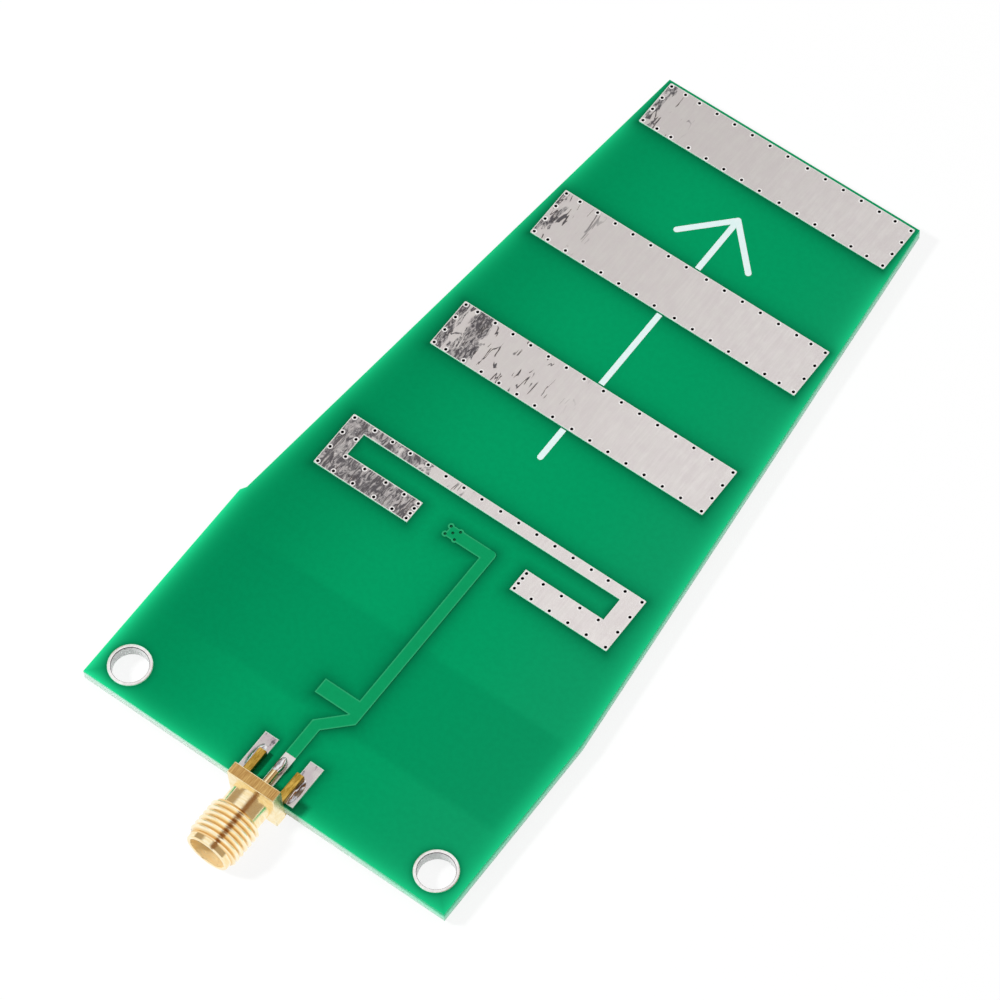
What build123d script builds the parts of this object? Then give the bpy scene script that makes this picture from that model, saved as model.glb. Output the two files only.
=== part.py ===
# Directional antenna printed on a tapered circuit board, fed by a coaxial socket on its near edge.
# All sizes are in millimetres.
#
# While it is drawn, x runs across the board from its centre line, y starts at the connector edge and
# grows along the printed arrow, and z = 0 is the plane that the socket's flange rests on. The finished
# part is then slid along y, so that its origin is the middle of its bounding box, on that plane.

import math
import os
from build123d import *

# Board outline
base_width = 50.0
board_thickness = 1.6
right_shoulder_y = 25.0
left_shoulder_y = 28.0
left_step_depth = 0.45
left_step_length = 0.7
tip_side_margin = 0.4
tip_end_margin = 0.3

# Layers on both faces of the board
copper_thickness = 0.07
mask_thickness = 0.03
print_thickness = 0.02
mask_gap = 0.05
print_gap = 0.2

# Folded driven element
dipole_y = 35.6
dipole_length = 40.9
dipole_width = 7.55
near_bar_width = 2.97
far_bar_width = 1.5
end_bar_width = 2.55
dipole_feed_gap = 14.4

# Director strips, from the driven element outwards
director_lengths = [38.2, 37.2, 34.6]
director_widths = [6.75, 6.95, 6.4]
director_spaces = [12.35, 11.65, 12.45]
strip_corner_radius = 0.15

# Plated via holes
via_bore = 0.35
via_wall = 0.05
via_inset = 0.36
via_pitch = 2.52
director_row_starts = [0.74, 1.66, 2.44]
director_row_gaps = [2.7, 2.84, 2.78]
director_last_gaps = [(1, 1), (1, 2), (2, 2)]
director_end_vias = 4
dipole_row_start = 0.53
dipole_row_gap = 2.62
dipole_last_gaps = (1, 3)
dipole_near_row_shares = [(0, 0.16, 0.366, 0.604, 0.822, 1), (0, 0.185, 0.385, 0.587, 0.79, 1)]
dipole_end_vias = 4
left_slot_via_drop = 1.0

# Feed line
trace_width = 1.4
pad_start_y = 0.4
signal_pad_length = 4.9
first_bend_y = 9.82
trace_shift = 2.82
stub_y = 12.95
stub_width = 1.95
stub_end_x = -2.6
arm_width = 1.52
arm_above_dipole_edge = 1.9
arm_corner_radius = 0.5
cluster_x = -2.16
cluster_half_width = 0.66
cluster_half_height = 0.57
cluster_pad_radius = 0.36

# Foil on the back: a reflector, a ground strip and two balun arms
reflector_y = 11.6
reflector_width = 11.8
reflector_length = 46.0
balun_slot_width = 1.6
balun_arm_width = 4.1

# Ground pads under the socket's legs
ground_pad_width = 1.85
ground_pad_length = 5.6
pad_to_leg_step = 0.1

# Mounting holes
hole_bore = 4.3
hole_wall = 0.06
hole_ring_width = 0.4
hole_side_inset = 3.75
hole_end_inset = 3.6

# Coaxial socket
flange_size = 6.35
flange_thickness = 1.5
flange_chamfer = 0.15
axis_above_face = 0.57
neck_length = 2.5
neck_diameter = 5.1
thread_length = 4.7
thread_diameter = 6.35
thread_chamfer = 0.35
lip_length = 0.8
lip_diameter = 5.5
lip_chamfer = 0.12
mouth_diameter = 4.6
mouth_depth = 1.9
insulator_diameter = 4.1
leg_width = 1.0
leg_height = 0.9
leg_length = 3.85
leg_chamfer = 0.08
leg_bore_clearance = 0.05
contact_diameter = 1.27
contact_bore = 0.94
contact_bore_depth = 2.9
contact_slot_width = 0.2
contact_slot_depth = 2.2
tail_diameter = 0.9
tail_length = 3.9
tail_chamfer = 0.2

# Solder joints
signal_solder_radius = 0.66
signal_solder_half_length = 1.35
signal_fill_width = 1.12
leg_solder_radius = 0.72
right_solder_half_length = 1.75
left_solder_half_length = 1.85
solder_sink = 0.1

# Printed arrow
arrow_stroke = 0.75
arrow_barb_reach = 5.05
arrow_tip_space = 4.3
arrow_tail_space = 4.55

# How far a shape that cuts or joins another reaches past the edge it meets
overlap = 1.0

# Heights of the stack
axis_z = flange_size / 2
face_z = axis_z - axis_above_face
back_z = face_z - board_thickness
copper_top = face_z + copper_thickness
copper_bottom = back_z - copper_thickness
mask_top = face_z + mask_thickness
mask_bottom = back_z - mask_thickness

# Places that follow from the sizes above
dipole_far_y = dipole_y + dipole_width
slot_near_y = dipole_y + near_bar_width
slot_far_y = dipole_far_y - far_bar_width
slot_half_length = dipole_length / 2 - end_bar_width
director_starts = []
previous_far_y = dipole_far_y
for strip_space, strip_width in zip(director_spaces, director_widths):
    director_starts.append(previous_far_y + strip_space)
    previous_far_y += strip_space + strip_width
board_length = previous_far_y + tip_end_margin
tip_width = director_lengths[-1] + 2 * tip_side_margin
feed_y = dipole_y + arm_above_dipole_edge
flange_front_y = -flange_thickness
thread_back_y = flange_front_y - neck_length
lip_back_y = thread_back_y - thread_length
mouth_y = lip_back_y - lip_length
mouth_floor_y = mouth_y + mouth_depth
leg_inner_x = insulator_diameter / 2 + leg_bore_clearance
leg_outer_x = leg_inner_x + leg_width
ground_pad_x = leg_inner_x + pad_to_leg_step + ground_pad_width / 2
ground_pad_y = pad_start_y + ground_pad_length / 2
hole_x = base_width / 2 - hole_side_inset
hole_ring_diameter = hole_bore + 2 * hole_ring_width
via_drill = via_bore + 2 * via_wall
hole_drill = hole_bore + 2 * hole_wall
origin_y = (board_length + mouth_y) / 2


# Helpers

def slab(face, bottom, top):
    return Pos(0, 0, bottom) * extrude(face, amount=top - bottom, dir=(0, 0, 1))


def bar(x_low, x_high, y_low, y_high):
    middle = Pos((x_low + x_high) / 2, (y_low + y_high) / 2)
    return middle * Rectangle(x_high - x_low, y_high - y_low)


def spread(low, high, count):
    return [low + (high - low) * index / (count - 1) for index in range(count)]


def discs(points, diameter):
    return Sketch() + [Pos(x, y) * Circle(diameter / 2) for x, y in points]


def tubes(points, outside, inside, bottom, top):
    rings = [Pos(x, y) * (Circle(outside / 2) - Circle(inside / 2)) for x, y in points]
    return Compound([slab(ring, bottom, top).solid() for ring in rings])


def rod(radius, y_low, y_high):
    middle = Pos(0, (y_low + y_high) / 2, axis_z)
    return middle * Rot(90, 0, 0) * Cylinder(radius, y_high - y_low)


def turned(profile):
    face = make_face(Polyline(*profile, close=True))
    return Pos(0, 0, axis_z) * revolve(face, Axis.Y)


# Outlines of the strips

def strip_outline(length, width, start_y):
    return Pos(0, start_y + width / 2) * RectangleRounded(length, width, strip_corner_radius)


def director_outline(index):
    return strip_outline(director_lengths[index], director_widths[index], director_starts[index])


def dipole_outline():
    outside = strip_outline(dipole_length, dipole_width, dipole_y)
    slot = bar(-slot_half_length, slot_half_length, slot_near_y, slot_far_y)
    gap = bar(-dipole_feed_gap / 2, dipole_feed_gap / 2, dipole_y - overlap, slot_near_y)
    return outside - slot - gap


def element_outlines():
    directors = [director_outline(index) for index in range(len(director_lengths))]
    return [dipole_outline()] + directors


# Places of the vias. A long row leaves both sides of a wider gap near its middle at an even pitch,
# and its last gaps share what is left before the strip's end.

def half_row(start, end, last_gaps):
    steps = max(round((end - start) / via_pitch) - last_gaps, 0)
    even = [start + via_pitch * step for step in range(steps + 1)]
    return even + spread(even[-1], end, last_gaps + 1)[1:]


def long_row(end_x, start, middle_gap, last_gaps):
    left = half_row(middle_gap - start, end_x, last_gaps[0])
    return [-x for x in left] + half_row(start, end_x, last_gaps[1])


def director_vias(index):
    end_x = director_lengths[index] / 2 - via_inset
    near_y = director_starts[index] + via_inset
    far_y = director_starts[index] + director_widths[index] - via_inset
    along = long_row(end_x, director_row_starts[index], director_row_gaps[index], director_last_gaps[index])
    points = [(x, y) for y in (near_y, far_y) for x in along]
    across = spread(near_y, far_y, director_end_vias)[1:-1]
    return points + [(x, y) for x in (-end_x, end_x) for y in across]


def dipole_vias():
    end_x = dipole_length / 2 - via_inset
    feed_x = dipole_feed_gap / 2 + via_inset
    near_y = dipole_y + via_inset
    inner_y = slot_near_y - via_inset
    far_y = dipole_far_y - via_inset
    far_row = long_row(end_x, dipole_row_start, dipole_row_gap, dipole_last_gaps)
    points = [(x, far_y) for x in far_row]
    for side, shares in zip((-1, 1), dipole_near_row_shares):
        near_row = [side * (feed_x + share * (end_x - feed_x)) for share in shares]
        points += [(x, near_y) for x in near_row]
        points += [(x, inner_y) for x in near_row[:-1]]
        points += [(side * feed_x, y) for y in spread(near_y, inner_y, dipole_end_vias)[1:-1]]
        points += [(side * end_x, y) for y in spread(near_y, far_y, dipole_end_vias)[1:-1]]
    left_slot_via = (-slot_half_length - via_inset, slot_far_y - left_slot_via_drop)
    return points + [left_slot_via]


def feed_vias():
    corners = [(sx * cluster_half_width, sy * cluster_half_height) for sx in (-1, 1) for sy in (-1, 1)]
    return [(cluster_x + x, feed_y + y) for x, y in corners + [(0, 0)]]


def all_vias():
    points = dipole_vias() + feed_vias()
    for index in range(len(director_lengths)):
        points += director_vias(index)
    return points


# Board and its plated holes

def board_outline():
    half_base = base_width / 2
    half_tip = tip_width / 2
    return make_face(Polyline(
        (-half_base, 0), (half_base, 0), (half_base, right_shoulder_y), (half_tip, board_length),
        (-half_tip, board_length), (-half_base + left_step_depth, left_shoulder_y + left_step_length),
        (-half_base, left_shoulder_y), close=True))


def hole_points():
    return [(-hole_x, hole_end_inset), (hole_x, hole_end_inset)]


def board_core():
    face = board_outline() - discs(all_vias(), via_drill) - discs(hole_points(), hole_drill)
    return slab(face, back_z, face_z)


def hole_plating(x):
    middle = Pos(x, hole_end_inset)
    ring = middle * (Circle(hole_ring_diameter / 2) - Circle(hole_bore / 2))
    lining = middle * (Circle(hole_drill / 2) - Circle(hole_bore / 2))
    eyelet = slab(lining, copper_bottom, copper_top) + slab(ring, face_z, copper_top)
    return eyelet + slab(ring, copper_bottom, back_z)


# Feed line and pads on the face

def feed_outline():
    half = trace_width / 2
    bend = half * math.tan(math.pi / 8)
    last_bend_y = first_bend_y + trace_shift
    arm_near_y = feed_y - arm_width / 2
    arm_far_y = feed_y + arm_width / 2
    line = make_face(Polyline(
        (-half, pad_start_y), (half, pad_start_y), (half, first_bend_y - bend),
        (trace_shift + half, last_bend_y - bend), (trace_shift + half, arm_far_y),
        (cluster_x - cluster_half_width, arm_far_y), (cluster_x - cluster_half_width, arm_near_y),
        (trace_shift - half, arm_near_y), (trace_shift - half, last_bend_y + bend),
        (-half, first_bend_y + bend), close=True))
    elbow = line.vertices().sort_by(Axis.X)[-4:].sort_by(Axis.Y)[-1]
    line = fillet(elbow, arm_corner_radius)
    stub = bar(stub_end_x, trace_shift, stub_y, stub_y + stub_width)
    return line + stub + discs(feed_vias(), 2 * cluster_pad_radius)


def signal_window():
    half = trace_width / 2 + mask_gap
    return bar(-half, half, pad_start_y - mask_gap, pad_start_y + signal_pad_length)


def feed_trace():
    return slab(feed_outline() - discs(feed_vias(), via_drill), face_z, copper_top)


def ground_pad_outline(side, grow=0.0):
    pad = Rectangle(ground_pad_width + 2 * grow, ground_pad_length + 2 * grow)
    return Pos(side * ground_pad_x, ground_pad_y) * pad


# Foil on the back

def back_plane_outline():
    half_slot = balun_slot_width / 2
    strip_half = ground_pad_x + ground_pad_width / 2
    reflector_far_y = reflector_y + reflector_width
    ground = bar(-strip_half, strip_half, pad_start_y, reflector_y + overlap)
    reflector = bar(-reflector_length / 2, reflector_length / 2, reflector_y, reflector_far_y)
    plane = dipole_outline() + ground + reflector
    for side in (-1, 1):
        inner, outer = sorted([side * half_slot, side * (half_slot + balun_arm_width)])
        plane += bar(inner, outer, reflector_far_y - overlap, slot_near_y)
        inner, outer = sorted([side * half_slot, side * (dipole_feed_gap / 2 + overlap)])
        plane += bar(inner, outer, dipole_y, slot_near_y)
    return plane


def back_ground_plane():
    holes = discs(dipole_vias() + feed_vias(), via_drill)
    return slab(back_plane_outline() - holes, copper_bottom, back_z)


# Lacquer on both faces

def open_lacquer():
    face = board_outline() - discs(hole_points(), hole_ring_diameter + 2 * mask_gap)
    for outline in element_outlines():
        face -= offset(outline, amount=mask_gap, kind=Kind.INTERSECTION)
    return face - ground_pad_outline(-1, mask_gap) - ground_pad_outline(1, mask_gap)


def front_solder_mask():
    covered = feed_outline() - signal_window()
    film = slab(open_lacquer() - signal_window(), face_z, mask_top)
    raised = offset(feed_outline(), amount=mask_thickness) - signal_window()
    film += slab(raised, face_z, copper_top + mask_thickness)
    film -= slab(feed_outline(), face_z, copper_top)
    return film - slab(discs(feed_vias(), via_bore), face_z, copper_top + 2 * mask_thickness)


def back_solder_mask():
    lowest = copper_bottom - mask_thickness
    film = slab(open_lacquer(), mask_bottom, back_z)
    film += slab(open_lacquer() & offset(back_plane_outline(), amount=mask_thickness), lowest, back_z)
    film -= slab(back_plane_outline(), copper_bottom, back_z)
    return film - slab(discs(feed_vias(), via_bore), lowest - mask_thickness, back_z)


# Printed arrow

def stroke(start, end):
    ends = discs([start, end], arrow_stroke)
    along = Vector(*end) - Vector(*start)
    middle = (Vector(*end) + Vector(*start)) / 2
    angle = Vector(1, 0, 0).get_signed_angle(along, Vector(0, 0, 1))
    body = Pos(middle.X, middle.Y) * Rot(0, 0, angle) * Rectangle(along.length, arrow_stroke)
    return ends + body


def direction_arrow():
    tip = (0, director_starts[2] - arrow_tip_space)
    barb_y = tip[1] - arrow_barb_reach
    arrow = stroke(tip, (0, director_starts[0] - arrow_tail_space))
    arrow += stroke(tip, (-arrow_barb_reach, barb_y)) + stroke(tip, (arrow_barb_reach, barb_y))
    for index in (0, 1):
        arrow -= offset(director_outline(index), amount=print_gap)
    pieces = [slab(face, mask_top, mask_top + print_thickness).solid() for face in arrow.faces()]
    return Compound(pieces)


# Coaxial socket

def turned_body():
    lip = lip_diameter / 2
    thread = thread_diameter / 2
    return turned([
        (0, mouth_y), (lip - lip_chamfer, mouth_y), (lip, mouth_y + lip_chamfer), (lip, lip_back_y),
        (thread - thread_chamfer, lip_back_y), (thread, lip_back_y + thread_chamfer),
        (thread, thread_back_y - thread_chamfer), (thread - thread_chamfer, thread_back_y),
        (neck_diameter / 2, thread_back_y), (neck_diameter / 2, flange_front_y + flange_thickness / 2),
        (0, flange_front_y + flange_thickness / 2)])


def flange():
    middle = Pos(0, -flange_thickness / 2, axis_z)
    block = Box(flange_size, flange_thickness, flange_size)
    return middle * chamfer(block.edges(), flange_chamfer)


def leg(side, above):
    block = Box(leg_width, leg_length + flange_thickness / 2, leg_height)
    ends = block.edges().group_by(Axis.Y)[-1]
    long_edges = block.edges().filter_by(Axis.Y)
    block = chamfer(ends + long_edges, leg_chamfer)
    z = copper_top + leg_height / 2 if above else copper_bottom - leg_height / 2
    y = (leg_length - flange_thickness / 2) / 2
    return Pos(side * (leg_inner_x + leg_width / 2), y, z) * block


def connector_shell():
    shell = turned_body() + flange()
    for side in (-1, 1):
        shell += leg(side, True) + leg(side, False)
    shell -= rod(mouth_diameter / 2, mouth_y - overlap, mouth_floor_y)
    return shell - rod(insulator_diameter / 2, mouth_y, overlap)


def connector_insulator():
    return rod(insulator_diameter / 2, mouth_floor_y, 0) - rod(contact_diameter / 2, mouth_y, overlap)


def centre_contact():
    body = contact_diameter / 2
    tail = tail_diameter / 2
    contact = turned([
        (0, mouth_floor_y), (body, mouth_floor_y), (body, 0), (tail, 0),
        (tail, tail_length - tail_chamfer), (tail - tail_chamfer, tail_length), (0, tail_length)])
    contact -= rod(contact_bore / 2, mouth_y, mouth_floor_y + contact_bore_depth)
    slot = Box(contact_diameter + overlap, 2 * contact_slot_depth, contact_slot_width)
    slot_place = Pos(0, mouth_floor_y, axis_z)
    return contact - slot_place * slot - slot_place * Rot(0, 90, 0) * slot


# Solder joints

def mound(x, y, radius, half_length, above):
    arc = EllipticalCenterArc((0, 0), radius, half_length, start_angle=-90, arc_size=180)
    profile = make_face([arc, Line(arc @ 1, arc @ 0)])
    bulb = revolve(profile, Axis.Y)
    reach = 2 * radius + 2 * half_length
    keep = Pos(0, 0, solder_sink + reach / 2) * Box(reach, reach, reach)
    half = Pos(0, 0, -solder_sink) * (bulb & keep)
    if above:
        return Pos(x, y, copper_top) * half
    return Pos(x, y, copper_bottom) * Rot(0, 180, 0) * half


def signal_solder():
    drop = Pos(0, 0, axis_z - copper_top)
    y = tail_length - signal_solder_half_length / 2
    bulb = drop * mound(0, y, signal_solder_radius, signal_solder_half_length, True)
    lower = Pos(0, y, copper_top + (axis_z - copper_top) / 2)
    fill = lower * Box(signal_fill_width, signal_solder_half_length, axis_z - copper_top)
    return bulb + fill - rod(tail_diameter / 2, -overlap, tail_length)


def leg_solder(side, above):
    half_length = left_solder_half_length if side < 0 else right_solder_half_length
    y = leg_length - half_length / 2 if side < 0 else leg_length - half_length
    return mound(side * leg_outer_x, y, leg_solder_radius, half_length, above) - leg(side, above)


def build():
    parts = {
        "board_core": board_core(),
        "front_solder_mask": front_solder_mask(),
        "back_solder_mask": back_solder_mask(),
        "front_dipole": slab(dipole_outline() - discs(dipole_vias(), via_drill), face_z, copper_top),
        "dipole_vias": tubes(dipole_vias(), via_drill, via_bore, copper_bottom, copper_top),
        "feed_trace": feed_trace(),
        "feed_vias": tubes(feed_vias(), via_drill, via_bore, copper_bottom, copper_top),
        "back_ground_plane": back_ground_plane(),
        "direction_arrow": direction_arrow(),
        "connector_shell": connector_shell(),
        "connector_insulator": connector_insulator(),
        "centre_contact": centre_contact(),
        "signal_solder": signal_solder(),
    }
    for index in range(len(director_lengths)):
        name = f"director_{index + 1}"
        vias = director_vias(index)
        face = director_outline(index) - discs(vias, via_drill)
        parts[f"front_{name}"] = slab(face, face_z, copper_top)
        parts[f"back_{name}"] = slab(face, copper_bottom, back_z)
        parts[f"{name}_vias"] = tubes(vias, via_drill, via_bore, copper_bottom, copper_top)
    for side, word in ((-1, "left"), (1, "right")):
        parts[f"{word}_ground_pad"] = slab(ground_pad_outline(side), face_z, copper_top)
        parts[f"{word}_hole_plating"] = hole_plating(side * hole_x)
        parts[f"{word}_front_solder"] = leg_solder(side, True)
        parts[f"{word}_back_solder"] = leg_solder(side, False)
    return {name: Pos(0, -origin_y, 0) * shape for name, shape in parts.items()}


if __name__ == "__main__":
    os.makedirs("parts", exist_ok=True)
    for node, shape in build().items():
        export_step(shape, f"parts/{node}.step")
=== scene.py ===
# %% [markdown]
# Dressing a printed antenna board
# The board arrives as a frame of plain solids, each in its right place. This notebook gives every
# surface its finish, and models again the few pieces whose small forms catch the light: the threaded
# socket, the solder, the rims of the plated holes. Everything is in metres, in the frame's own axes:
# +Y runs along the printed arrow, +Z comes out of the printed face.

# %% Load the frame
import math
import bmesh
import bpy
from mathutils import Matrix, Quaternion, Vector


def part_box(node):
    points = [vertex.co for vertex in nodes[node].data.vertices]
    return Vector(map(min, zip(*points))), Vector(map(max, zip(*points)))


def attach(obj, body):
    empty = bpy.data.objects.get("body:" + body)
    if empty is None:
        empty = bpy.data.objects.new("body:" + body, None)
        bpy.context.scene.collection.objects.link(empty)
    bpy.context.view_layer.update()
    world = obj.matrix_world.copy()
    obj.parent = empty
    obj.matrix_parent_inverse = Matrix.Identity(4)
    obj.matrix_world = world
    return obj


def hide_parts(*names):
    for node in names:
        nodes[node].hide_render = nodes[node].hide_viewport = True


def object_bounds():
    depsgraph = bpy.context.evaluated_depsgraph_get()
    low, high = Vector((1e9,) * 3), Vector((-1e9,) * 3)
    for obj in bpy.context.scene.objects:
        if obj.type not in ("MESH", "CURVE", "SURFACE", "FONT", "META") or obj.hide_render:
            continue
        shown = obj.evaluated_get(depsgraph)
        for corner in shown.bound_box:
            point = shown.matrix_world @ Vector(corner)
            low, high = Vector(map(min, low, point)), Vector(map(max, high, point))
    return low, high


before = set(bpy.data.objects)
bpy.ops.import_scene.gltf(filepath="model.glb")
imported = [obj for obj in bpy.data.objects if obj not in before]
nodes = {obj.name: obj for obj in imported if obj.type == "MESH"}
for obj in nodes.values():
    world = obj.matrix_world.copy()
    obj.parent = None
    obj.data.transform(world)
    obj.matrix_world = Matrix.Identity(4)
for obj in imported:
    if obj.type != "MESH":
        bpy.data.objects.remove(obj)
mm = 0.001


def new_object(name, data):
    item = bpy.data.objects.new(name, data)
    bpy.context.scene.collection.objects.link(item)
    return item


cad_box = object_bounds()
board_low, board_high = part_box("board_core")
face_z = board_high.z
back_z = board_low.z
foil_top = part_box("front_director_1")[1].z
foil_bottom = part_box("back_director_1")[0].z
print("nodes", len(nodes), "board", [round(size / mm, 2) for size in board_high - board_low])

# %% [markdown]
# A lens far away
# The photograph was taken with a long lens, so parallel edges stay nearly parallel. The camera is
# placed by what it looks at, from how far, and from which side, because those numbers can be read
# and changed one at a time. A last small roll tips the horizon as the picture does.

# %% Camera
aim = Vector((-0.42, -1.32, 2.6)) * mm
camera_distance = 583.8 * mm
camera_azimuth = math.radians(41.33)
camera_elevation = math.radians(61.69)
camera_roll = math.radians(-5.05)
camera_lens = 187.9

towards_camera = Vector((math.sin(camera_azimuth) * math.cos(camera_elevation),
                         -math.cos(camera_azimuth) * math.cos(camera_elevation),
                         math.sin(camera_elevation)))
camera = new_object("camera", bpy.data.cameras.new("camera"))
camera.data.lens = camera_lens
camera.data.clip_start = 0.01
camera.data.clip_end = 10
camera.location = aim + towards_camera * camera_distance
camera.rotation_mode = "QUATERNION"
level_view = (-towards_camera).to_track_quat("-Z", "Y")
camera.rotation_quaternion = level_view @ Quaternion((0, 0, 1), camera_roll)
bpy.context.scene.camera = camera
print("camera at", [round(place / mm, 1) for place in camera.location])

# %% [markdown]
# Small words for nodes
# A material is a graph, and writing each link out in full hides what the graph does. A few helpers
# keep it readable: one places a node and fills its sockets from numbers or from other sockets, and
# the others name the sums that come up again and again.

# %% Node helpers
def paint(red, green, blue):
    """A colour as a screen shows it, from 0 to 255, turned into the linear light that shaders use."""
    linear = []
    for value in (red, green, blue):
        share = value / 255
        linear.append(share / 12.92 if share <= 0.04045 else ((share + 0.055) / 1.055) ** 2.4)
    return (*linear, 1.0)


def plug(tree, socket, value):
    if isinstance(value, bpy.types.NodeSocket):
        tree.links.new(value, socket)
    else:
        socket.default_value = value


def place(tree, kind, inputs=None, **settings):
    node = tree.nodes.new("ShaderNode" + kind)
    for name, value in settings.items():
        setattr(node, name, value)
    for key, value in (inputs or {}).items():
        plug(tree, node.inputs[key], value)
    return node


def calc(tree, operation, first, second=0.0, clamp=False):
    node = place(tree, "Math", {0: first, 1: second}, operation=operation, use_clamp=clamp)
    return node.outputs[0]


def times(tree, first, second, clamp=False):
    return calc(tree, "MULTIPLY", first, second, clamp)


def minus(tree, first, second):
    return calc(tree, "SUBTRACT", first, second)


def vector_calc(tree, operation, first, second=(0, 0, 0)):
    node = place(tree, "VectorMath", {0: first, 1: second}, operation=operation)
    return node.outputs["Value" if operation in ("LENGTH", "DOT_PRODUCT", "DISTANCE") else "Vector"]


def scaled(tree, vector, factor):
    sockets = {0: vector, "Scale": factor}
    return place(tree, "VectorMath", sockets, operation="SCALE").outputs[0]


def fade(tree, value, start, end, low=0.0, high=1.0):
    """Goes smoothly from low to high as value goes from start to end, and stays there."""
    sockets = {"Value": value, "From Min": start, "From Max": end, "To Min": low, "To Max": high}
    return place(tree, "MapRange", sockets, interpolation_type="SMOOTHSTEP").outputs[0]


def band(tree, value, middle, outer, inner):
    """Is 1 where value is within inner of middle, and 0 where it is beyond outer."""
    return fade(tree, calc(tree, "ABSOLUTE", minus(tree, value, middle)), outer, inner)


def blend(tree, share, first, second):
    node = place(tree, "Mix", data_type="RGBA")
    plug(tree, node.inputs[0], share)
    plug(tree, node.inputs[6], first)
    plug(tree, node.inputs[7], second)
    return node.outputs[2]


def noise(tree, vector, scale, detail=3.0, roughness=0.5, distortion=0.0):
    sockets = {"Vector": vector, "Scale": scale, "Detail": detail, "Roughness": roughness,
               "Distortion": distortion}
    return place(tree, "TexNoise", sockets).outputs[0]


def stretched(tree, vector, scale):
    return place(tree, "Mapping", {"Vector": vector, "Scale": scale}).outputs[0]


def object_place(tree):
    return place(tree, "TexCoord").outputs["Object"]


def parts_of(tree, vector):
    return place(tree, "SeparateXYZ", {0: vector}).outputs


def falling(tree, distance, reach):
    """Is 1 where distance is 0 and dies away from there, to a third at reach."""
    return calc(tree, "EXPONENT", times(tree, distance, -1 / reach))


def smallest(tree, values):
    least = values[0]
    for value in values[1:]:
        least = calc(tree, "MINIMUM", least, value)
    return least


def bump(tree, height, distance, strength=1.0):
    sockets = {"Height": height, "Distance": distance, "Strength": strength}
    return place(tree, "Bump", sockets).outputs[0]


def new_material(name, **constants):
    """A material with one Principled shader, and its constant sockets set."""
    material = bpy.data.materials.new(name)
    material.use_nodes = True
    shader = material.node_tree.nodes["Principled BSDF"]
    for socket, value in constants.items():
        shader.inputs[socket.replace("_", " ")].default_value = value
    return material, material.node_tree, shader


def coat(tree, shader, **sockets):
    for name, value in sockets.items():
        plug(tree, shader.inputs[name.replace("_", " ")], value)


def new_group(name, vectors, values, results):
    """A shader node group that takes vectors and values by name, and gives back named values."""
    tree = bpy.data.node_groups.new(name, "ShaderNodeTree")
    for names, way, kind in ((vectors, "INPUT", "Vector"), (values, "INPUT", "Float"),
                             (results, "OUTPUT", "Float")):
        for socket in names:
            tree.interface.new_socket(socket, in_out=way, socket_type="NodeSocket" + kind)
    return tree, tree.nodes.new("NodeGroupInput").outputs, tree.nodes.new("NodeGroupOutput").inputs


def use_group(tree, group, **values):
    node = place(tree, "Group", node_tree=group)
    for name, value in values.items():
        plug(tree, node.inputs[name.replace("_", " ")], value)
    return node.outputs


print("orange reads as", [round(value, 3) for value in paint(255, 128, 0)])

# %% [markdown]
# Where the lacquer is pale, and where it is dark
# Green lacquer is a thin tinted film over a pale translucent board. Near the board's edge light
# comes in from the side, so the film glows. Beside copper the foil stops that light, so it darkens.
# Both depend only on a distance, so node groups measure it: from a bar-shaped piece of copper, from
# a straight line of it, and inwards from the board's outline. That way the glow follows the real
# edges, and no picture is needed. Inside the copper the distance is negative, which the tin and the
# raised lacquer use to find their own rims.

# %% Distance groups
bar_distance, taken, given = new_group(
    "Distance From Bar", ["Place", "Middle", "Half Size"], [], ["Distance"])
from_middle = vector_calc(bar_distance, "ABSOLUTE", vector_calc(
    bar_distance, "SUBTRACT", taken["Place"], taken["Middle"]))
past_side = vector_calc(bar_distance, "SUBTRACT", from_middle, taken["Half Size"])
outside_bar = vector_calc(bar_distance, "MULTIPLY", vector_calc(
    bar_distance, "MAXIMUM", past_side), (1, 1, 0))
past_axes = parts_of(bar_distance, past_side)
inside_bar = calc(bar_distance, "MINIMUM", calc(
    bar_distance, "MAXIMUM", past_axes["X"], past_axes["Y"]), 0.0)
plug(bar_distance, given["Distance"], calc(
    bar_distance, "ADD", vector_calc(bar_distance, "LENGTH", outside_bar), inside_bar))

line_distance, taken, given = new_group(
    "Distance From Line", ["Place", "Start", "End"], ["Half Width"], ["Distance"])
span = vector_calc(line_distance, "SUBTRACT", taken["End"], taken["Start"])
from_start = vector_calc(line_distance, "MULTIPLY", vector_calc(
    line_distance, "SUBTRACT", taken["Place"], taken["Start"]), (1, 1, 0))
share_along = calc(line_distance, "DIVIDE", vector_calc(line_distance, "DOT_PRODUCT", from_start, span),
                   vector_calc(line_distance, "DOT_PRODUCT", span, span), clamp=True)
nearest_on_line = scaled(line_distance, span, share_along)
plug(line_distance, given["Distance"], minus(line_distance, vector_calc(
    line_distance, "DISTANCE", from_start, nearest_on_line), taken["Half Width"]))

base_half = board_high.x
tip_half = 17.7 * mm
right_shoulder = board_low.y + 25.0 * mm
left_shoulder = board_low.y + 28.0 * mm
outline = [Vector((-base_half, board_low.y)), Vector((base_half, board_low.y)),
           Vector((base_half, right_shoulder)), Vector((tip_half, board_high.y)),
           Vector((-tip_half, board_high.y)), Vector((-base_half, left_shoulder))]

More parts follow.
